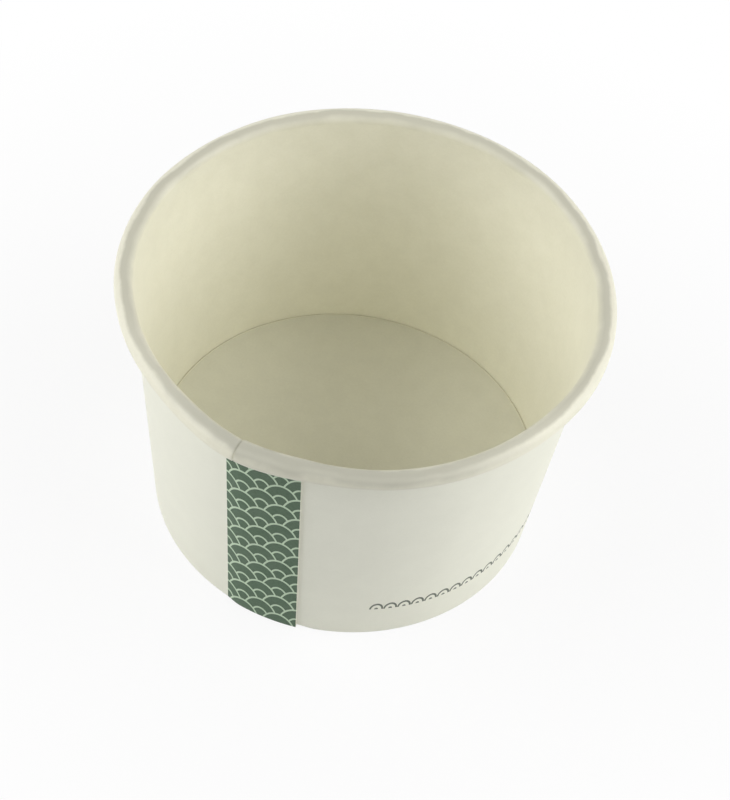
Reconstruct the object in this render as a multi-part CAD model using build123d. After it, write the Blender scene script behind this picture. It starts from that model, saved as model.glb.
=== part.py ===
from build123d import *
from math import acos, atan2, cos, degrees, radians, sin, tan
import os

# Squat paper tub for ice cream, in millimetres. +Z is up, and the origin is the middle of the
# ring it stands on. The side seam is at the front, on -Y. Two boards make the tub: a fan-shaped
# blank wrapped into a cone, with its top edge rolled and its bottom edge folded under, and a
# round blank with its edge turned down, which the fold holds.

# Whole tub
rim_radius = 45.0  # over the rolled rim
tub_height = 57.0
foot_radius = 36.0  # outer face of the wall, carried down to the table

# Side wall
board = 0.42  # thickness of the wall's board
roll_width = 3.5  # across the rolled rim
roll_gap = 0.06  # between one turn of the roll and the next
roll_tail_angle = 90.0  # how far the board goes on after one whole turn
hem_height = 5.6  # top of the edge turned up inside the base's skirt

# Side seam
lap_width = 11.5  # overlap of the blank's two ends, measured under the rim
lap_ramp = 2.2  # run over which the outer end climbs onto the inner one
lap_trim = 0.4  # how far the outer end stops short of the turned-up edge
roll_lap_rise = 0.16  # how far the doubled board stands out on the roll

# Base
base_board = 0.36  # thickness of the base's board
floor_height = 7.0  # food side of the base above the table
skirt_lift = 0.05  # skirt's lower edge above the inside of the fold
seal_gap = 0.03  # film of coating on each side of the skirt

# A seam layer starts inside the board that carries it, and the low end of a ramp stays
# just under that board's face.
sunk_share = 0.5
flush_share = 0.9

# Centre of the roll, and the lean that makes the wall a tangent of it.
roll_radius = roll_width / 2
roll_pitch = board + roll_gap
roll_centre = Vector(rim_radius - roll_radius, tub_height - roll_radius)
foot = Vector(foot_radius, 0)
reach = roll_centre - foot
lean = degrees(acos((roll_radius - board) / reach.length) - atan2(reach.Y, reach.X))
up_wall = Vector(sin(radians(lean)), cos(radians(lean)))
out_of_wall = Vector(up_wall.Y, -up_wall.X)
wall_top = roll_centre - out_of_wall * roll_radius

# Depths below the wall's outer face.
skirt_depth = board + seal_gap
hem_depth = skirt_depth + base_board + seal_gap

# The seam, centred on -Y. The outer end of the blank is cut on the right, and runs into the
# underside of the roll. The inner end is cut on the left.
lap_angle = degrees(lap_width / wall_top.X)
ramp_angle = degrees(lap_ramp / wall_top.X)
lap_left = -90 - lap_angle / 2
lap_tuck = 2 * board


def on_wall(height, depth):
    """Point at a height above the table, at a depth inwards from the wall's outer face."""
    start = foot - out_of_wall * depth
    return start + up_wall * ((height - start.Y) / up_wall.Y)


def face_run(start, heading, moves, depth=0.0):
    """Edges at a depth under the food side. A move is a length, or a bend's radius and turn.

    The radius is the food side's, and a bend that comes out with no radius is a sharp crease.
    """
    side = Vector(heading.Y, -heading.X)
    point = start + side * depth
    edges = []
    for move in moves:
        if not isinstance(move, tuple):
            edges.append(Line(point, point + heading * move).edge())
            point = edges[-1] @ 1
            continue
        radius, turn = move
        bend = radius + depth if turn > 0 else radius - depth
        if bend > 0:
            edges.append(JernArc(point, heading, bend, turn).edge())
            point = edges[-1] @ 1
        heading = heading.rotate(Axis.Z, turn)
    return edges


def between(near, far):
    """Upright section that two runs of edges enclose, with their ends joined."""
    first = Line(near[0] @ 0, far[0] @ 0).edge()
    last = Line(near[-1] @ 1, far[-1] @ 1).edge()
    return Plane.XZ * Face(Wire(near + far + [first, last]))


def moves_of_foot(trim=0.0, tuck=0.0):
    """Down the turned-up edge, round the fold and up the wall, short by a trim and a tuck."""
    hem_corner = on_wall(board, hem_depth)
    wall_corner = on_wall(board, board)
    hem = (on_wall(hem_height - trim, hem_depth) - hem_corner).length
    land = (wall_corner - hem_corner).length
    wall = (wall_top - wall_corner).length - tuck
    return [hem, (0, 90 + lean), land, (0, 90 - lean), wall]


def moves_of_roll():
    """Half turns of falling radius. The last one lies inside the first."""
    over = (roll_radius, lean - 180)
    under = (roll_radius - roll_pitch / 2, -180)
    tail = (roll_radius - roll_pitch, -roll_tail_angle)
    return [over, under, tail]


def wall_section(near, far, moves, trim=0.0):
    """Section of the side blank between two depths under its food side."""
    start = on_wall(hem_height - trim, hem_depth)
    down_hem = -up_wall
    near_run = face_run(start, down_hem, moves, near)
    far_run = face_run(start, down_hem, moves, far)
    return between(near_run, far_run)


def swept(section, start_angle, angle):
    """Section carried round the axis from a start angle."""
    return Rot(0, 0, start_angle) * revolve(section, Axis.Z, angle)


def ramp(full, low, full_angle, low_angle):
    """Layer that falls from a full section to one just under the board's face."""
    return loft([Rot(0, 0, full_angle) * full, Rot(0, 0, low_angle) * low], ruled=True)


def wall_lap():
    """Outer end of the blank, which lies over the inner one down the wall and round the fold."""
    moves = moves_of_foot(lap_trim, lap_tuck)
    full = wall_section(board * sunk_share, 2 * board, moves, lap_trim)
    low = wall_section(board * sunk_share, board * flush_share, moves, lap_trim)
    layer = swept(full, lap_left, lap_angle) + ramp(full, low, lap_left, lap_left - ramp_angle)
    side = 2 * rim_radius + board
    under_table = Pos(0, 0, -board) * Box(side, side, 2 * board)
    return layer - under_table


def roll_lap():
    """Inner end of the blank, which is the outer layer once the rim is rolled."""
    half_turns = moves_of_roll()[:2]
    face = face_run(wall_top + Vector(roll_lap_rise, 0), up_wall, half_turns)
    seat = face_run(wall_top, up_wall, half_turns, board * sunk_share)
    return swept(between(face, seat), lap_left, lap_angle)


def side_wall():
    """Cone of board with a rolled rim, a lapped side seam and a folded foot."""
    sheet = revolve(wall_section(0, board, moves_of_foot() + moves_of_roll()), Axis.Z)
    return sheet + wall_lap() + roll_lap()


def base_disc():
    """Round board whose edge turns down into the fold of the wall."""
    corner = on_wall(floor_height, skirt_depth)
    turn = 90 + lean
    bend_setback = base_board * tan(radians(turn) / 2)
    skirt = (corner - on_wall(board + skirt_lift, skirt_depth)).length
    moves = [corner.X - bend_setback, (base_board, -turn), skirt - bend_setback]
    centre = Vector(0, floor_height)
    food_run = face_run(centre, Vector(1, 0), moves)
    under_run = face_run(centre, Vector(1, 0), moves, base_board)
    return revolve(between(food_run, under_run), Axis.Z)


def main():
    os.makedirs("parts", exist_ok=True)
    export_step(side_wall(), "parts/side_wall.step")
    export_step(base_disc(), "parts/base_disc.step")


main()
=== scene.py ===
from math import acos, atan2, cos, pi, radians, sin, tan

import bpy
from mathutils import Matrix, Vector


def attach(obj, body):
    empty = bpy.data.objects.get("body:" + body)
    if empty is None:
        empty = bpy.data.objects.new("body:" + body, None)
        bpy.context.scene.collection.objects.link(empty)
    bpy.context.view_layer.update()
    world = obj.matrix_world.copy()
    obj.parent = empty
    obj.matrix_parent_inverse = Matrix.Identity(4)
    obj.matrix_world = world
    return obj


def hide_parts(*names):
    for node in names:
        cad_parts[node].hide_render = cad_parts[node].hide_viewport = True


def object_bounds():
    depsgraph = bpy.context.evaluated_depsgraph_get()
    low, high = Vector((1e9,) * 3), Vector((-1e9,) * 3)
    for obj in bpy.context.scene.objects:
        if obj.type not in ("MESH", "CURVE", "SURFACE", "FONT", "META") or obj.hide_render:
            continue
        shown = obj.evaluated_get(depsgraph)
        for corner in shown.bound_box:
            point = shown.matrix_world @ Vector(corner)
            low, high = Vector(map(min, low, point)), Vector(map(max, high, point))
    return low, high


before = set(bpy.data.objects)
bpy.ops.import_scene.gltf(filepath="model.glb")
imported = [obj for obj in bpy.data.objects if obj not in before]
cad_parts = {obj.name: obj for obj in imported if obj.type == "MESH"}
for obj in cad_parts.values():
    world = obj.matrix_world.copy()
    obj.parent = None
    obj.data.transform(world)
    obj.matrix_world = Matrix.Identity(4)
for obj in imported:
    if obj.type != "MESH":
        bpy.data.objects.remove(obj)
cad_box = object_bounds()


# Side wall
# One fan-shaped blank of coated board, printed on its outside. It is wrapped into a cone whose
# ends overlap in the side seam. Its top edge is rolled outwards into the rim, and its bottom
# edge is folded up inside the base's skirt.

mm = 0.001
rim_radius = (cad_box[1].x - cad_box[0].x) / 2
tub_height = cad_box[1].z
foot_radius = 36.0 * mm  # outer face of the wall, carried down to the table
board = 0.42 * mm  # thickness of the side blank
roll_width = 3.5 * mm
roll_gap = 0.06 * mm  # between one turn of the roll and the next
roll_tail = radians(90)  # how far the board goes on after one whole turn
hem_height = 5.6 * mm  # top of the edge turned up inside the base's skirt
fold_radius = 0.05 * mm  # food side of the fold's two bends
base_board = 0.36 * mm
seal_gap = 0.03 * mm  # film of coating on each side of the skirt

# Side seam
lap_width = 11.5 * mm
lap_ramp = 4.5 * mm  # run over which the outer end climbs onto the inner one
roll_ramp_share = 0.07  # what is left of that run in the roll
roll_lap_rise = 0.16 * mm  # how far the doubled board stands out on the roll
roll_settle = radians(45)  # turn of the roll over which the layers change to that
glue_line = 0.01 * mm
end_lean = radians(-1.8)  # turn of both cut edges between the table and the rim
seam_bulge = 0.9 * mm
roll_swell = 0.2
bulge_angle = radians(30)  # reach of the bulge and the swell on each side of the seam
waver = 2.0 * mm
waver_scale = 1.1
waver_climb = 12.0  # steps through the waver's noise for each metre of height
waver_seed = 67.0
trim_share = 0.8  # share of the roll's second half turn that has its corner left on

# Columns and rows of the mesh
wall_columns = 400
wall_crowding = 0.8
merge_distance = 0.001 * mm
bend_steps = 6
hem_steps = 5
wall_steps = 17
roll_steps = 20
tail_steps = 8
sharp_angle = radians(40)

roll_radius = roll_width / 2
roll_pitch = board + roll_gap
second_radius = roll_radius - roll_pitch / 2
tail_radius = roll_radius - roll_pitch
roll_centre = Vector((rim_radius - roll_radius, tub_height - roll_radius))
reach = roll_centre - Vector((foot_radius, 0))
lean = acos((roll_radius - board) / reach.length) - atan2(reach.y, reach.x)
up_wall = Vector((sin(lean), cos(lean)))
out_of_wall = Vector((up_wall.y, -up_wall.x))
wall_top = roll_centre - out_of_wall * roll_radius
skirt_depth = board + seal_gap
hem_depth = skirt_depth + base_board + seal_gap
lap_angle = lap_width / wall_top.x
ramp_angle = lap_ramp / wall_top.x
wrap_angle = 2 * pi + lap_angle
first_angle = -pi / 2 - lap_angle / 2


def on_wall(height, depth):
    """Point at a height above the table, at a depth inwards from the wall's outer face."""
    start = Vector((foot_radius, 0)) - out_of_wall * depth
    return start + up_wall * ((height - start.y) / up_wall.y)


# The fold's corners under the base and under the wall, and the runs along the blank from its
# edge under the base. The last one is the fan's own radius at that edge
hem_corner = on_wall(board, hem_depth)
wall_corner = on_wall(board, board)
corner_run = (on_wall(hem_height, hem_depth) - hem_corner).length
corner_run += (wall_corner - hem_corner).length
wall_run = corner_run + (wall_top - wall_corner).length
crown_run = wall_run + roll_radius * (pi / 2 - lean)
apex_run = wall_corner.x / sin(lean) - corner_run


def arc_points(start, heading, radius, turn, steps):
    """Points after the start of a bend. A turn is clockwise when it is positive."""
    side = Vector((heading.y, -heading.x)) * (1 if turn > 0 else -1)
    centre = start + side * radius
    spoke = start - centre
    return [centre + Matrix.Rotation(-turn * k / steps, 2) @ spoke for k in range(1, steps + 1)]


def rounded(corner, before, after, radius):
    """Points of a bend that rounds a corner between two headings."""
    turn = before.angle_signed(after)
    start = corner - before * radius * tan(abs(turn) / 2)
    return [start] + arc_points(start, before, radius, turn, bend_steps)


def spaced(start, end, steps):
    """Points inside a straight stretch."""
    return [start.lerp(end, k / steps) for k in range(1, steps)]


def wall_section():
    """Food side of the blank from its edge under the base to its end in the roll.

    Each row is a point, the shift there of the layer that lies over at the seam, that of the layer
    that lies under, the share of the full ramp between them, and the way the roll swells.
    """
    none = Vector((0, 0))
    across = Vector((1, 0))
    hem_top = on_wall(hem_height, hem_depth)
    hem_bend = rounded(hem_corner, -up_wall, across, fold_radius)
    wall_bend = rounded(wall_corner, across, up_wall, fold_radius)
    hem_points = [hem_top] + spaced(hem_top, hem_bend[0], hem_steps)
    wall_points = spaced(wall_bend[-1], wall_top, wall_steps) + [wall_top]
    rows = [(point, -out_of_wall, none, 1, none) for point in hem_points]
    rows += [(point, -out_of_wall, up_wall, 1, none) for point in hem_bend]
    rows += [(point, out_of_wall, up_wall, 1, none) for point in wall_bend]
    rows += [(point, out_of_wall, none, 1, none) for point in wall_points]
    part_turns = (
        (roll_radius, pi - lean, roll_steps),
        (second_radius, pi, roll_steps),
        (tail_radius, roll_tail, tail_steps),
    )
    closing = 2 * pi - lean
    point = wall_top
    heading = up_wall
    turned = 0.0
    for radius, turn, steps in part_turns:
        for k, place in enumerate(arc_points(point, heading, radius, turn, steps), 1):
            at = turned + turn * k / steps
            along = Matrix.Rotation(-at, 2) @ up_wall
            print_side = Vector((along.y, -along.x))
            tight = min(max((at - pi / 2) / (closing - pi / 2), 0), 1)
            in_roll = min(at / roll_settle, 1)
            deeper = tight - in_roll * roll_lap_rise / (board + glue_line)
            over = print_side * (1 + deeper)
            under = print_side * deeper
            ramp_share = 1 + in_roll * (roll_ramp_share - 1)
            rows.append((place, over, under, ramp_share, place - wall_top))
        turned += turn
        point = rows[-1][0]
        heading = Matrix.Rotation(-turned, 2) @ up_wall
    return rows


def section_piece(name, rows):
    """Run of edges in the XZ plane that carries the length so far and the two layers' shifts."""
    points = [(row[0].x, 0, row[0].y) for row in rows]
    edges = [(k, k + 1) for k in range(len(rows) - 1)]
    mesh = bpy.data.meshes.new(name)
    mesh.from_pydata(points, edges, [])
    for kind, names in (("FLOAT", ("run", "ramp")), ("FLOAT_VECTOR", ("over", "under", "swell"))):
        for attribute in names:
            mesh.attributes.new(attribute, kind, "POINT")
    kept = {attribute.name: attribute.data for attribute in mesh.attributes}
    length = 0.0
    for k, (place, shift_over, shift_under, ramp_share, swell) in enumerate(rows):
        length += (place - rows[max(k - 1, 0)][0]).length
        kept["run"][k].value = length
        kept["ramp"][k].value = ramp_share
        kept["over"][k].vector = (shift_over.x, 0, shift_over.y)
        kept["under"][k].vector = (shift_under.x, 0, shift_under.y)
        kept["swell"][k].vector = (swell.x, 0, swell.y)
    piece = bpy.data.objects.new(name, mesh)
    bpy.context.scene.collection.objects.link(piece)
    return piece


def add_node(tree, kind, inputs=(), **settings):
    """Node of a tree, with its inputs set or linked."""
    made = tree.nodes.new(kind)
    for name, value in settings.items():
        setattr(made, name, value)
    for key, value in dict(inputs).items():
        if isinstance(value, bpy.types.NodeSocket):
            tree.links.new(value, made.inputs[key])
        else:
            made.inputs[key].default_value = value
    return made


def first_output(tree, kind, inputs=(), **settings):
    """First output of a new node."""
    return add_node(tree, kind, inputs, **settings).outputs[0]


def figure(tree, operation, *values):
    """Result of a sum on values or sockets."""
    return first_output(tree, "ShaderNodeMath", dict(enumerate(values)), operation=operation)


def vector_figure(tree, operation, *values, **inputs):
    """Result of a sum on vectors."""
    given = {**dict(enumerate(values)), **inputs}
    return first_output(tree, "ShaderNodeVectorMath", given, operation=operation)


def parts_of(tree, vector):
    """The three parts of a vector."""
    return add_node(tree, "ShaderNodeSeparateXYZ", {0: vector}).outputs


def own_place(tree):
    """Place on the piece."""
    return add_node(tree, "ShaderNodeTexCoord").outputs["Object"]


def wrapping_tree():
    """Wraps a section round the axis. Where it comes round again, it climbs over its start."""
    tree = bpy.data.node_groups.new("Wrap a blank round the axis", "GeometryNodeTree")
    tree.interface.new_socket("Geometry", in_out="INPUT", socket_type="NodeSocketGeometry")
    tree.interface.new_socket("Columns", in_out="INPUT", socket_type="NodeSocketInt")
    for name in (
            "Crowding", "First Angle", "Wrap Angle", "Lap Angle", "Ramp Angle", "End Lean", "Height",
            "Layer Step", "Trim Run", "Apex Run", "Fan Share", "Seam Bulge", "Roll Swell",
            "Bulge Angle", "Waver", "Seed"):
        tree.interface.new_socket(name, in_out="INPUT", socket_type="NodeSocketFloat")
    tree.interface.new_socket("Board", in_out="INPUT", socket_type="NodeSocketMaterial")
    tree.interface.new_socket("Geometry", in_out="OUTPUT", socket_type="NodeSocketGeometry")
    given = add_node(tree, "NodeGroupInput").outputs

    def changed(kind, geometry, inputs=(), **settings):
        """Geometry after one more node."""
        inputs = {"Geometry": geometry, **dict(inputs)}
        return first_output(tree, f"GeometryNode{kind}", inputs, **settings)

    def kept(geometry, name, value, kind="FLOAT", domain="POINT"):
        """Geometry with a value stored on it under a name."""
        inputs = {"Name": name, "Value": value}
        return changed("StoreNamedAttribute", geometry, inputs, data_type=kind, domain=domain)

    def read(name, kind="FLOAT"):
        """Value stored under a name."""
        return first_output(
            tree, "GeometryNodeInputNamedAttribute", {"Name": name}, data_type=kind)

    def step_up(value, low, high):
        """Smooth climb from 0 to 1 between two values."""
        inputs = {"Value": value, "From Min": low, "From Max": high}
        return first_output(
            tree, "ShaderNodeMapRange", inputs, interpolation_type="SMOOTHSTEP")

    # A straight ribbon of the section, whose points know their own place and share of the wrap
    place = first_output(tree, "GeometryNodeInputPosition")
    section = kept(given["Geometry"], "place", place, "FLOAT_VECTOR")
    section = first_output(tree, "GeometryNodeMeshToCurve", {"Mesh": section})
    path = first_output(tree, "GeometryNodeCurvePrimitiveLine", {"End": (0, 0, 1)})
    path_inputs = {"Curve": path, "Count": given["Columns"]}
    path = first_output(tree, "GeometryNodeResampleCurve", path_inputs)
    factor = add_node(tree, "GeometryNodeSplineParameter").outputs["Factor"]
    path = kept(path, "share", factor)
    ribbon_inputs = {"Curve": path, "Profile Curve": section}
    ribbon = first_output(tree, "GeometryNodeCurveToMesh", ribbon_inputs)

    # Columns crowd towards both ends, where the ramps are. The two cut edges lean alike
    share = read("share")
    swing = figure(tree, "SINE", figure(tree, "MULTIPLY", share, 2 * pi))
    swing = figure(tree, "MULTIPLY", swing, figure(tree, "DIVIDE", given["Crowding"], 2 * pi))
    own_height = parts_of(tree, read("place", "FLOAT_VECTOR"))[2]
    leaned = figure(tree, "SUBTRACT", figure(tree, "DIVIDE", own_height, given["Height"]), 0.5)
    leaned = figure(tree, "MULTIPLY", leaned, given["End Lean"])
    whole = figure(tree, "ADD", figure(tree, "MULTIPLY", leaned, 2.0), given["Wrap Angle"])
    turn = figure(tree, "MULTIPLY", figure(tree, "SUBTRACT", share, swing), whole)
    turn = figure(tree, "SUBTRACT", turn, leaned)
    ribbon = kept(ribbon, "turn", turn)
    turn = read("turn")
    angle = figure(tree, "ADD", turn, given["First Angle"])

    # The seam's layers move apart by one step, and the doubled board swells the roll
    ramp = figure(tree, "MULTIPLY", read("ramp"), given["Ramp Angle"])
    past_start = figure(tree, "ADD", turn, leaned)
    climb = step_up(past_start, figure(tree, "SUBTRACT", 2 * pi, ramp), 2 * pi)
    past_end = figure(tree, "SUBTRACT", turn, leaned)
    fall_end = figure(tree, "ADD", given["Lap Angle"], given["Ramp Angle"])
    not_fallen = figure(tree, "SUBTRACT", 1.0, step_up(past_end, given["Lap Angle"], fall_end))
    over = vector_figure(tree, "SCALE", read("over", "FLOAT_VECTOR"), Scale=climb)
    under = vector_figure(tree, "SCALE", read("under", "FLOAT_VECTOR"), Scale=not_fallen)
    shift = vector_figure(tree, "ADD", over, under)
    shift = vector_figure(tree, "SCALE", shift, Scale=given["Layer Step"])
    from_seam = figure(tree, "FLOORED_MODULO", figure(tree, "ADD", turn, pi), 2 * pi)
    from_seam = figure(tree, "ABSOLUTE", figure(tree, "SUBTRACT", from_seam, pi))
    near_seam = step_up(from_seam, given["Bulge Angle"], 0.0)
    swell = figure(tree, "MULTIPLY", near_seam, given["Roll Swell"])
    swell = vector_figure(tree, "SCALE", read("swell", "FLOAT_VECTOR"), Scale=swell)
    shift = vector_figure(tree, "ADD", shift, swell)
    settled = vector_figure(tree, "ADD", read("place", "FLOAT_VECTOR"), shift)
    settled = parts_of(tree, settled)

    # The doubled board at the seam bulges, and the cone is never quite round, but the base
    # holds its foot true
    cosine = figure(tree, "COSINE", angle)
    sine = figure(tree, "SINE", angle)
    climbed = figure(tree, "MULTIPLY", settled[2], waver_climb)
    around = first_output(tree, "ShaderNodeCombineXYZ", {0: cosine, 1: sine, 2: climbed})
    uneven_inputs = {"Vector": around, "W": given["Seed"], "Scale": waver_scale, "Detail": 1.0}
    uneven = first_output(tree, "ShaderNodeTexNoise", uneven_inputs, noise_dimensions="4D")
    uneven = figure(tree, "MULTIPLY", figure(tree, "SUBTRACT", uneven, 0.5), given["Waver"])
    bulge = figure(tree, "MULTIPLY", figure(tree, "POWER", near_seam, 2.0), given["Seam Bulge"])
    raised = figure(tree, "POWER", figure(tree, "DIVIDE", settled[2], given["Height"]), 2.0)
    pushed = figure(tree, "MULTIPLY", figure(tree, "ADD", uneven, bulge), raised)
    radius = figure(tree, "ADD", settled[0], pushed)
    wrapped_x = figure(tree, "MULTIPLY", radius, cosine)
    wrapped_y = figure(tree, "MULTIPLY", radius, sine)
    wrapped = {0: wrapped_x, 1: wrapped_y, 2: settled[2]}
    wrapped = first_output(tree, "ShaderNodeCombineXYZ", wrapped)
    shape = changed("SetPosition", ribbon, {"Position": wrapped})

    # Flat blank in millimetres, measured from the cut edge that shows
    flat_radius = figure(tree, "ADD", read("run"), given["Apex Run"])
    flat_angle = figure(tree, "SUBTRACT", turn, given["Wrap Angle"])
    flat_angle = figure(tree, "MULTIPLY", flat_angle, given["Fan Share"])
    flat_x = figure(tree, "MULTIPLY", flat_radius, figure(tree, "SINE", flat_angle))
    flat_x = figure(tree, "DIVIDE", flat_x, mm)
    flat_y = figure(tree, "MULTIPLY", flat_radius, figure(tree, "COSINE", flat_angle))
    flat_y = figure(tree, "SUBTRACT", flat_y, given["Apex Run"])
    flat_y = figure(tree, "DIVIDE", flat_y, mm)
    flat = first_output(tree, "ShaderNodeCombineXYZ", {0: flat_x, 1: flat_y})
    shape = kept(shape, "Blank", flat, "FLOAT2", "CORNER")

    # The corner of the layer that lies over is cut off where the roll closes. A face goes
    # where all of its points are in that corner
    ramp_start = figure(tree, "SUBTRACT", 2 * pi, given["Ramp Angle"])
    late = figure(tree, "GREATER_THAN", turn, ramp_start)
    far = figure(tree, "GREATER_THAN", read("run"), given["Trim Run"])
    corner = figure(tree, "GREATER_THAN", figure(tree, "MULTIPLY", late, far), 0.9)
    shape = changed("DeleteGeometry", shape, {"Selection": corner}, domain="FACE")
    for name in ("place", "share", "turn", "run", "ramp", "over", "under", "swell"):
        shape = changed("RemoveAttribute", shape, {"Name": name})
    shape = changed("MergeByDistance", shape, {"Distance": merge_distance})
    shape = changed("RealizeInstances", shape)
    shape = changed("SetMaterial", shape, {"Material": given["Board"]})
    add_node(tree, "NodeGroupOutput", {"Geometry": shape})
    return tree


def settle(piece):
    """Turns what the piece's modifiers make into its own plain mesh."""
    graph = bpy.context.evaluated_depsgraph_get()
    made = bpy.data.meshes.new_from_object(piece.evaluated_get(graph))
    piece.modifiers.clear()
    piece.data = made


def wrap(piece, tree, **sizes):
    """Runs the wrapping tree on a section, with its inputs given by name. The others stay 0."""
    bend = piece.modifiers.new("Wrap", "NODES")
    bend.node_group = tree
    for socket in tree.interface.items_tree:
        value = sizes.get(socket.name.replace(" ", "_").lower())
        if socket.in_out == "INPUT" and value is not None:
            bend[socket.identifier] = value
    settle(piece)


def thicken(piece, thickness, food_side, print_side, cut_edge):
    """Gives a wrapped face its board, with a material for each side and for the cut edges."""
    piece.data.materials.clear()
    for material in (food_side, print_side, cut_edge):
        piece.data.materials.append(material)
    layer = piece.modifiers.new("Board", "SOLIDIFY")
    layer.thickness = thickness
    layer.offset = -1.0
    layer.use_even_offset = True
    layer.use_quality_normals = True
    layer.material_offset = 1
    layer.material_offset_rim = 2
    settle(piece)
    piece.data.shade_smooth()
    piece.data.set_sharp_from_angle(angle=sharp_angle)


def board_grain():
    """Cloudy tone and fibre relief of paper board."""
    tree = bpy.data.node_groups.new("Board grain", "ShaderNodeTree")
    for name in ("Cloud Scale", "Fibre Scale"):
        tree.interface.new_socket(name, in_out="INPUT", socket_type="NodeSocketFloat")
    for name in ("Clouds", "Fibres"):
        tree.interface.new_socket(name, in_out="OUTPUT", socket_type="NodeSocketFloat")
    given = add_node(tree, "NodeGroupInput").outputs
    place = own_place(tree)
    clouds = {"Vector": place, "Scale": given["Cloud Scale"], "Detail": 3.0, "Roughness": 0.6}
    fibres = {"Vector": place, "Scale": given["Fibre Scale"], "Detail": 2.5, "Roughness": 0.7}
    clouds = first_output(tree, "ShaderNodeTexNoise", clouds)
    fibres = first_output(tree, "ShaderNodeTexNoise", fibres)
    add_node(tree, "NodeGroupOutput", {"Clouds": clouds, "Fibres": fibres})
    return tree


grain = board_grain()
noise_low = 0.3  # nearly all of a noise lies between these two
noise_high = 0.7
cloud_share = 0.6  # of the tone. The fibres have the rest
tone_low = 0.36
tone_high = 0.64
rough_spread = 0.05


def share_of(tree, value, low, high, to_low=0.0, to_high=1.0):
    """Value carried from one range to another."""
    limits = {"From Min": low, "From Max": high, "To Min": to_low, "To Max": to_high}
    return first_output(tree, "ShaderNodeMapRange", {"Value": value, **limits})


def all_of(tree, *masks):
    """Product of masks."""
    product = masks[0]
    for mask in masks[1:]:
        product = figure(tree, "MULTIPLY", product, mask)
    return product


def mixed(tree, share, first, second):
    """Colour between two others."""
    made = add_node(tree, "ShaderNodeMix", {"Factor": share}, data_type="RGBA")
    for socket, value in ((made.inputs[6], first), (made.inputs[7], second)):
        if isinstance(value, bpy.types.NodeSocket):
            tree.links.new(value, socket)
        else:
            socket.default_value = (*value, 1)
    return made.outputs[2]


def board_material(name, light, dark, roughness, cloud_size, fibre_size, relief, coat=0.0):
    """Board between two tones, with its relief. Returns it with its shader and its grain."""
    made = bpy.data.materials.new(name)
    made.use_nodes = True
    tree = made.node_tree
    tree.nodes.clear()
    grown = add_node(tree, "ShaderNodeGroup", node_tree=grain)
    grown.inputs["Cloud Scale"].default_value = 1 / cloud_size
    grown.inputs["Fibre Scale"].default_value = 1 / fibre_size
    clouds = grown.outputs["Clouds"]
    fibres = grown.outputs["Fibres"]
    cloud_tone = figure(tree, "MULTIPLY", clouds, cloud_share)
    fibre_tone = figure(tree, "MULTIPLY", fibres, 1 - cloud_share)
    tone = figure(tree, "ADD", cloud_tone, fibre_tone)
    smooth = roughness - rough_spread
    rough = roughness + rough_spread
    bump = {"Height": fibres, "Strength": 1.0, "Distance": relief}
    shader = add_node(tree, "ShaderNodeBsdfPrincipled", {
        "Base Color": mixed(tree, share_of(tree, tone, tone_low, tone_high), dark, light),
        "Roughness": share_of(tree, clouds, noise_low, noise_high, smooth, rough),
        "Normal": first_output(tree, "ShaderNodeBump", bump),
        "Coat Weight": coat,
        "Coat Roughness": 0.4,
    })
    add_node(tree, "ShaderNodeOutputMaterial", {"Surface": shader.outputs[0]})
    return made, shader, fibres


def toned(material, shader, mask, tone):
    """Lays a tone over a material's colour where a mask says."""
    colour = shader.inputs["Base Color"]
    plain = colour.links[0].from_socket
    tree = material.node_tree
    tree.links.new(mixed(tree, mask, plain, tone), colour)


def length_of(tree, vector):
    """Length of a vector."""
    made = add_node(tree, "ShaderNodeVectorMath", {0: vector}, operation="LENGTH")
    return made.outputs["Value"]


def on_blank(tree):
    """Place on the flat blank, and the run along its section, in millimetres."""
    flat = first_output(tree, "ShaderNodeUVMap", uv_map="Blank")
    from_apex = vector_figure(tree, "ADD", flat, (0, apex_run / mm, 0))
    return flat, figure(tree, "SUBTRACT", length_of(tree, from_apex), apex_run / mm)


food_coated, food_shader, _ = board_material(
    "Coated board, food side", light=(0.88, 0.86, 0.71), dark=(0.84, 0.82, 0.67), roughness=0.5,
    cloud_size=4.0 * mm, fibre_size=0.5 * mm, relief=0.012 * mm, coat=0.15)
raw_edge, _, _ = board_material(
    "Cut edge of the board", light=(0.80, 0.79, 0.70), dark=(0.70, 0.69, 0.60), roughness=0.85,
    cloud_size=0.5 * mm, fibre_size=0.12 * mm, relief=0.03 * mm)

# Painted shade on the roll: greyer along its crown, which faces up and away from the low side lamps,
# with a ragged edge, and all over at the front. The half left of the seam gets none of it past its
# crown. Millimetres count from the crown outwards, and the place to the front from the axis
crown_shade_tone = (0.59, 0.575, 0.465)
front_shade_tone = (0.405, 0.40, 0.33)
front_turn = radians(12)  # from the seam to the greyest place, on its right
raggedness = 0.4
ragged_scale = 0.14

food_tree = food_coated.node_tree
food_flat, food_run = on_blank(food_tree)
ragged_inputs = {"Vector": food_flat, "Scale": ragged_scale, "Detail": 4.0}
ragged = first_output(food_tree, "ShaderNodeTexNoise", ragged_inputs)
ragged = share_of(food_tree, ragged, noise_low, noise_high, -raggedness, raggedness)
past_crown = figure(food_tree, "SUBTRACT", food_run, crown_run / mm)
past_crown = figure(food_tree, "ADD", past_crown, ragged)
front_inputs = {0: own_place(food_tree), 1: (sin(front_turn), -cos(front_turn), 0)}
to_front = add_node(food_tree, "ShaderNodeVectorMath", front_inputs, operation="DOT_PRODUCT")
to_front = to_front.outputs["Value"]

# Painted shade in a stripe along the roll's crown, weaker towards the front
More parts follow.
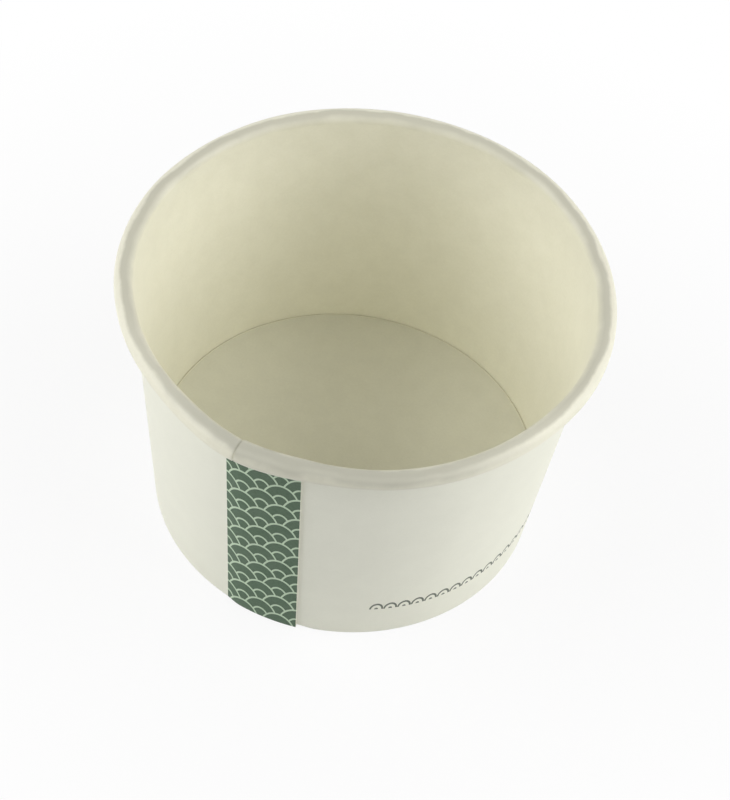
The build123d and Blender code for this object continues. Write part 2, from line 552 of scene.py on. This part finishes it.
stripe_shift = share_of(
    food_tree, to_front, low=-rim_radius, high=rim_radius, to_low=-0.1, to_high=0.45)
in_stripe = figure(food_tree, "SUBTRACT", past_crown, stripe_shift)
stripe_start = share_of(food_tree, in_stripe, low=-2.6, high=-0.8)
stripe_end = share_of(food_tree, in_stripe, low=0.6, high=0.0)
stripe_ease = share_of(
    food_tree, to_front, low=0.3 * rim_radius, high=0.9 * rim_radius, to_low=1.0, to_high=0.55)
crown_shade = all_of(food_tree, stripe_start, stripe_end, stripe_ease)
toned(food_coated, food_shader, crown_shade, crown_shade_tone)

# Painted shade over the whole roll at the front, fading on its lower outer side and left off the
# half left of the seam past its crown
at_front = share_of(
    food_tree, to_front, low=0.58 * rim_radius, high=0.95 * rim_radius, to_low=0.0, to_high=0.9)
front_start = share_of(food_tree, past_crown, low=-1.8, high=-0.6, to_low=0.0, to_high=0.8)
front_end = share_of(food_tree, past_crown, low=2.6, high=1.6, to_low=0.4, to_high=1.0)
across_blank = parts_of(food_tree, food_flat)[0]
left_half = figure(food_tree, "GREATER_THAN", across_blank, -pi * rim_radius / mm)
left_start = share_of(food_tree, past_crown, low=0.8, high=1.6, to_low=0.0, to_high=0.8)
unshaded_left = all_of(food_tree, left_half, left_start)
elsewhere = figure(food_tree, "SUBTRACT", 1.0, unshaded_left)
front = all_of(food_tree, at_front, front_start, front_end, elsewhere)
toned(food_coated, food_shader, front, front_shade_tone)

printed, printed_shader, printed_fibres = board_material(
    "Printed board, outside", light=(0.865, 0.865, 0.75), dark=(0.84, 0.84, 0.725), roughness=0.6,
    cloud_size=5.0 * mm, fibre_size=0.45 * mm, relief=0.015 * mm)

# Print on the outside, in millimetres on the flat blank. A green band with a fish-scale
# pattern ends at the cut edge that shows, and a row of small arcs runs low round the wall
band_width = 14.0
scale_radius = band_width / 4
scale_rings = 2
scale_stretch = 1.8
line_width = 0.3
thin_green = (0.077, 0.140, 0.079)
full_green = (0.052, 0.102, 0.054)
line_tone = (0.52, 0.65, 0.48)
border_turn = radians(61.8) + lap_angle / 2 - wrap_angle  # its middle, from the cut edge
border_height = 8.5 * mm
border_length = 41.6
border_arcs = 16
border_stretch = 1.55
border_line = 0.36
border_slope = radians(-1.2)
border_tone = (0.13, 0.15, 0.11)


def distance(tree, aside, above):
    """Distance of a place that lies aside of a centre and above it."""
    aside_squared = figure(tree, "MULTIPLY", aside, aside)
    above_squared = figure(tree, "MULTIPLY", above, above)
    return figure(tree, "SQRT", figure(tree, "ADD", aside_squared, above_squared))


def scale_distance(tree, across, up, row):
    """Distance from the nearest centre in a row of scales."""
    aside = figure(tree, "MULTIPLY", figure(tree, "FLOORED_MODULO", row, 2.0), scale_radius)
    aside = figure(tree, "FLOORED_MODULO", figure(tree, "ADD", across, aside), 2 * scale_radius)
    aside = figure(tree, "SUBTRACT", aside, scale_radius)
    above = figure(tree, "SUBTRACT", up, figure(tree, "MULTIPLY", row, scale_radius / 2))
    return distance(tree, aside, above)


def scale_lines(tree, across, up):
    """Ring lines of overlapping scales. The lowest row that reaches a point is the one seen."""
    lowest = figure(tree, "SUBTRACT", up, scale_radius)
    lowest = figure(tree, "CEIL", figure(tree, "DIVIDE", lowest, scale_radius / 2))
    numbers = [figure(tree, "ADD", lowest, float(k)) for k in range(3)]
    rows = [scale_distance(tree, across, up, number) for number in numbers]
    seen = rows[2]
    for nearer in (rows[1], rows[0]):
        inside = figure(tree, "LESS_THAN", nearer, scale_radius)
        beyond = figure(tree, "MULTIPLY", figure(tree, "SUBTRACT", 1.0, inside), seen)
        seen = figure(tree, "ADD", figure(tree, "MULTIPLY", inside, nearer), beyond)
    depth = figure(tree, "SUBTRACT", scale_radius, seen)
    depth = figure(tree, "FLOORED_MODULO", depth, scale_radius / scale_rings)
    return figure(tree, "LESS_THAN", depth, line_width)


def border_lines(tree, along, above):
    """One row of small double arcs."""
    pitch = border_length / border_arcs
    aside = figure(tree, "SUBTRACT", figure(tree, "FLOORED_MODULO", along, pitch), pitch / 2)
    away = distance(tree, aside, above)
    outer = figure(tree, "COMPARE", away, pitch / 2 - border_line / 2, border_line / 2)
    inner = figure(tree, "LESS_THAN", away, border_line)
    arcs = figure(tree, "MAXIMUM", outer, inner)
    upper = figure(tree, "GREATER_THAN", above, 0.0)
    in_row = figure(tree, "COMPARE", along, 0.0, border_length / 2)
    return all_of(tree, arcs, upper, in_row)


def laid_on(tree, flat, centre, turn):
    """Place on the flat blank as seen from a print's own centre and turn."""
    inputs = {"Vector": flat, "Location": centre, "Rotation": (0, 0, turn)}
    return parts_of(tree, first_output(tree, "ShaderNodeMapping", inputs, vector_type="TEXTURE"))


print_tree = printed.node_tree
print_flat, _ = on_blank(print_tree)
border_run = on_wall(border_height, board).x / sin(lean) / mm
border_angle = border_turn * sin(lean)
border_centre = (border_run * sin(border_angle), border_run * cos(border_angle) - apex_run / mm, 0)
on_border = laid_on(print_tree, print_flat, border_centre, -border_angle - border_slope)
up_border = figure(print_tree, "DIVIDE", on_border[1], border_stretch)
border = border_lines(print_tree, on_border[0], up_border)
toned(printed, printed_shader, border, border_tone)

half_way = corner_run + (tub_height / 2 - board) / up_wall.y
end_slope = end_lean * (foot_radius + rim_radius) / 2 / (tub_height / up_wall.y)
on_band = laid_on(print_tree, print_flat, (0, half_way / mm, 0), -end_slope)
up_band = figure(print_tree, "DIVIDE", on_band[1], scale_stretch)
ink_share = share_of(print_tree, printed_fibres, noise_low, noise_high)
green = mixed(print_tree, ink_share, full_green, thin_green)
lines = scale_lines(print_tree, on_band[0], up_band)
band_colour = mixed(print_tree, lines, green, line_tone)
in_band = figure(print_tree, "GREATER_THAN", on_band[0], -band_width)
toned(printed, printed_shader, in_band, band_colour)

trim_run = wall_run + roll_radius * (pi - lean) + second_radius * pi * trim_share
wrapping = wrapping_tree()
wall_piece = section_piece("wall_board", wall_section())
wrap(
    wall_piece, wrapping, columns=wall_columns, crowding=wall_crowding, first_angle=first_angle,
    wrap_angle=wrap_angle, lap_angle=lap_angle, ramp_angle=ramp_angle, end_lean=end_lean,
    height=tub_height, layer_step=board + glue_line, trim_run=trim_run, apex_run=apex_run,
    fan_share=sin(lean), seam_bulge=seam_bulge, roll_swell=roll_swell, bulge_angle=bulge_angle,
    waver=waver, seed=waver_seed, board=food_coated)
thicken(wall_piece, board, food_coated, printed, raw_edge)
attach(wall_piece, "root")
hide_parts("side_wall")


# Base
# A round blank of coated board, pressed flat with its edge turned down into a skirt. The skirt
# stands in the fold of the side wall and is sealed to it on both sides.

floor_height = 7.0 * mm  # food side of the base above the table
skirt_bend = 0.40 * mm
skirt_end = board + 0.52 * mm  # lower edge, with room below for the doubled board of the seam
base_columns = 193
floor_steps = 14
skirt_steps = 4


def base_section():
    """Food side of the base, from its middle to the lower edge of the skirt."""
    none = Vector((0, 0))
    across = Vector((1, 0))
    centre = Vector((0, floor_height))
    bend = rounded(on_wall(floor_height, skirt_depth), across, -up_wall, skirt_bend)
    end = on_wall(skirt_end, skirt_depth)
    points = [centre] + spaced(centre, bend[0], floor_steps)
    points += bend + spaced(bend[-1], end, skirt_steps) + [end]
    return [(point, none, none, 1, none) for point in points]


# Painted shade: the same coated board as the wall's food side, with its tones darkened to about 0.85
# because the floor faces up, away from the side lamps
base_food, base_shader, _ = board_material(
    "Coated board, floor", light=(0.745, 0.732, 0.60), dark=(0.706, 0.693, 0.565), roughness=0.5,
    cloud_size=4.0 * mm, fibre_size=0.5 * mm, relief=0.012 * mm, coat=0.15)
base_under, _, _ = board_material(
    "Uncoated board, underside", light=(0.80, 0.80, 0.72), dark=(0.76, 0.76, 0.68), roughness=0.8,
    cloud_size=3.0 * mm, fibre_size=0.4 * mm, relief=0.02 * mm)

# Painted light: the base's bend is lightened where it meets the wall, which softens the shade in
# that corner
corner_light_tone = (0.87, 0.85, 0.70)
base_edge = on_wall(floor_height, skirt_depth).x
base_tree = base_food.node_tree
across_base = vector_figure(base_tree, "MULTIPLY", own_place(base_tree), (1, 1, 0))
from_axis = length_of(base_tree, across_base)
corner_start = base_edge - 1.5 * skirt_bend
corner_full = base_edge - 0.5 * skirt_bend
toned(base_food, base_shader, share_of(base_tree, from_axis, corner_start, corner_full), corner_light_tone)

# The base goes round once and meets itself, with no seam, bulge or trimmed corner
base_piece = section_piece("base_board", base_section())
wrap(
    base_piece, wrapping, columns=base_columns, wrap_angle=2 * pi, height=tub_height,
    ramp_angle=0.01, trim_run=1.0, fan_share=1.0, bulge_angle=1.0, board=base_food)
thicken(base_piece, base_board, base_food, base_under, raw_edge)
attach(base_piece, "root")
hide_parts("base_disc")


# Table and the white round it
# A sheet of white paper that the tub stands on. The camera sees it nearly white, with the tub's
# soft shadow on it, and plain white beyond.

sweep_half = 1.5
near_white = 0.88  # share of plain white that the camera sees close to the tub
fade_start = 1.2 * rim_radius
fade_end = 3 * rim_radius
room_strength = 0.11
plain_white = (1, 1, 1, 1)


def seen_plainly(tree):
    """1 for the rays that should meet plain white: the camera's, and those in gloss and glass."""
    rays = add_node(tree, "ShaderNodeLightPath").outputs
    seen = figure(tree, "MAXIMUM", rays["Is Camera Ray"], rays["Is Glossy Ray"])
    return figure(tree, "MAXIMUM", seen, rays["Is Transmission Ray"])


def sweep_material():
    """White paper for the light. For the camera it fades to plain white with the distance."""
    made = bpy.data.materials.new("White sweep")
    made.use_nodes = True
    tree = made.node_tree
    tree.nodes.clear()
    paper = first_output(tree, "ShaderNodeBsdfDiffuse", {"Color": (0.8, 0.8, 0.8, 1)})
    white = first_output(tree, "ShaderNodeEmission", {"Color": plain_white, "Strength": 1.0})
    faded = share_of(tree, length_of(tree, own_place(tree)), fade_start, fade_end, near_white, 1.0)
    seen = all_of(tree, seen_plainly(tree), faded)
    look = first_output(tree, "ShaderNodeMixShader", {0: seen, 1: paper, 2: white})
    add_node(tree, "ShaderNodeOutputMaterial", {"Surface": look})
    return made


sweep_mesh = bpy.data.meshes.new("sweep")
sweep_corners = ((-1, -1), (1, -1), (1, 1), (-1, 1))
sweep_points = [(x * sweep_half, y * sweep_half, 0) for x, y in sweep_corners]
sweep_mesh.from_pydata(sweep_points, [], [(0, 1, 2, 3)])
sweep_mesh.materials.append(sweep_material())
sweep = bpy.data.objects.new("sweep", sweep_mesh)
bpy.context.scene.collection.objects.link(sweep)

room = bpy.data.worlds.new("Room")
bpy.context.scene.world = room
room.use_nodes = True
room_tree = room.node_tree
room_tree.nodes.clear()
room_light = {"Color": plain_white, "Strength": room_strength}
room_light = first_output(room_tree, "ShaderNodeBackground", room_light)
room_white = {"Color": plain_white, "Strength": 1.0}
room_white = first_output(room_tree, "ShaderNodeBackground", room_white)
room_look = {0: seen_plainly(room_tree), 1: room_light, 2: room_white}
room_look = first_output(room_tree, "ShaderNodeMixShader", room_look)
add_node(room_tree, "ShaderNodeOutputWorld", {"Surface": room_look})
bpy.context.scene.view_settings.view_transform = "Standard"


# Camera
# A long lens over half a metre away, which looks down into the tub and leans a little. Its
# place and its length come from fitting the tub's outlines to the photograph.

view_azimuth = radians(16.94)
view_elevation = radians(49.95)
view_distance = 0.5731
view_pan = radians(-0.222)
view_tilt = radians(-0.252)
view_lean = radians(7.364)
picture_height = 800
focal_pixels = 3092.3


def seen_from(azimuth, elevation):
    """Way from the tub's middle to a place round it."""
    level = cos(elevation)
    return Vector((sin(azimuth) * level, -cos(azimuth) * level, sin(elevation)))


middle = Vector((0, 0, tub_height / 2))
to_camera = seen_from(view_azimuth, view_elevation)
right_hand = Vector((cos(view_azimuth), sin(view_azimuth), 0))
facing = Matrix((right_hand, to_camera.cross(right_hand), to_camera)).transposed().to_4x4()
turns = (
    Matrix.Rotation(view_pan, 4, "Y")
    @ Matrix.Rotation(view_tilt, 4, "X")
    @ Matrix.Rotation(view_lean, 4, "Z")
)
lens = bpy.data.cameras.new("camera")
lens.sensor_width = 36.0
lens.lens = focal_pixels * lens.sensor_width / picture_height
lens.clip_start = 0.01
camera = bpy.data.objects.new("camera", lens)
camera.matrix_world = Matrix.Translation(middle + to_camera * view_distance) @ facing @ turns
bpy.context.scene.collection.objects.link(camera)
bpy.context.scene.camera = camera


# Lamps
# Two broad soft boxes light the tub from its sides, with weaker ones in front and behind. Each
# is a square of the same size, as far from the tub as the others.

lamp_size = 0.8
lamp_distance = 1.0


def soft_box(name, azimuth, elevation, power):
    """Square lamp that faces the tub, at an azimuth in degrees from the camera's own."""
    to_lamp = seen_from(view_azimuth + radians(azimuth), radians(elevation))
    lamp = bpy.data.lights.new(name, "AREA")
    lamp.size = lamp_size
    lamp.energy = power
    made = bpy.data.objects.new(name, lamp)
    facing_tub = to_lamp.to_track_quat("Z", "Y").to_matrix().to_4x4()
    made.matrix_world = Matrix.Translation(middle + to_lamp * lamp_distance) @ facing_tub
    made.visible_camera = False
    bpy.context.scene.collection.objects.link(made)


soft_box("left soft box", azimuth=-80, elevation=32, power=7.6)
soft_box("right soft box", azimuth=80, elevation=32, power=7.6)
soft_box("front soft box", azimuth=0, elevation=50, power=0.75)
soft_box("right rear soft box", azimuth=110, elevation=20, power=0.8)
soft_box("back soft box", azimuth=180, elevation=25, power=1.0)
